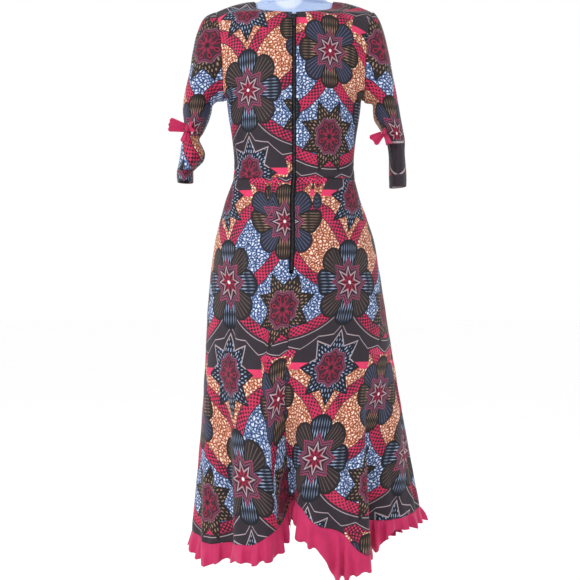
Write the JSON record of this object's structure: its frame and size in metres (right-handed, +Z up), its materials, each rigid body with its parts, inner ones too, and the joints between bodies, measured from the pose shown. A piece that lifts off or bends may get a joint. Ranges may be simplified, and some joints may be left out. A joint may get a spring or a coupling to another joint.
{
  "type": "maxi dress on a dress form",
  "caption": "Long fitted dress of printed cotton with a back zip, bow-tied sleeves, a flared skirt in deep folds and a ruffled uneven hem, standing on a limbless dress form.",
  "frame": {"origin": "the middle of the base's underside, on the floor", "axes": "+Z up; the dress's back faces -Y and its front +Y; +X is the wearer's right"},
  "size_m": [0.6177, 0.4486, 1.57],
  "materials": {
    "printed_cotton": "matt wax-printed plain-weave cotton",
    "pink_cotton": "matt plain-weave cotton",
    "zip_tape": "black woven tape and coil",
    "zip_metal": "black lacquered zinc",
    "form_plastic": "pale blue satin moulded plastic",
    "stand_acrylic": "clear polished acrylic",
    "stand_steel": "brushed steel"
  },
  "bodies": {
    "dress": {"bodice_front": "printed_cotton", "bodice_back_left": "printed_cotton", "bodice_back_right": "printed_cotton", "skirt_front": "printed_cotton", "skirt_back_left": "printed_cotton", "skirt_back_right": "printed_cotton", "sleeve_left": "printed_cotton", "sleeve_right": "printed_cotton", "cuff_left": "printed_cotton", "cuff_right": "printed_cotton", "ruffle_front_right": "pink_cotton", "ruffle_front_left": "pink_cotton", "ruffle_back_left": "pink_cotton", "ruffle_back_right": "pink_cotton", "bow_left_knot": "pink_cotton", "bow_left_outer": "pink_cotton", "bow_left_inner": "pink_cotton", "bow_left_tail": "pink_cotton", "bow_right_knot": "pink_cotton", "bow_right_outer": "pink_cotton", "bow_right_inner": "pink_cotton", "zip_tape_left": "zip_tape", "zip_tape_right": "zip_tape", "zip_chain": "zip_tape", "zip_slider": "zip_metal", "form_torso": "form_plastic", "form_pole": "stand_acrylic", "form_base": "stand_steel"},
    "pull_tab": {"zip_pull": "zip_metal"}
  },
  "joints": [
    {"name": "pull_tab_swing", "type": "hinge", "parent": "dress", "child": "pull_tab", "pos_m": [0, -0.10574, 1.43054], "axis": [-1, 0, 0], "range_deg": [0, 160]}
  ]
}
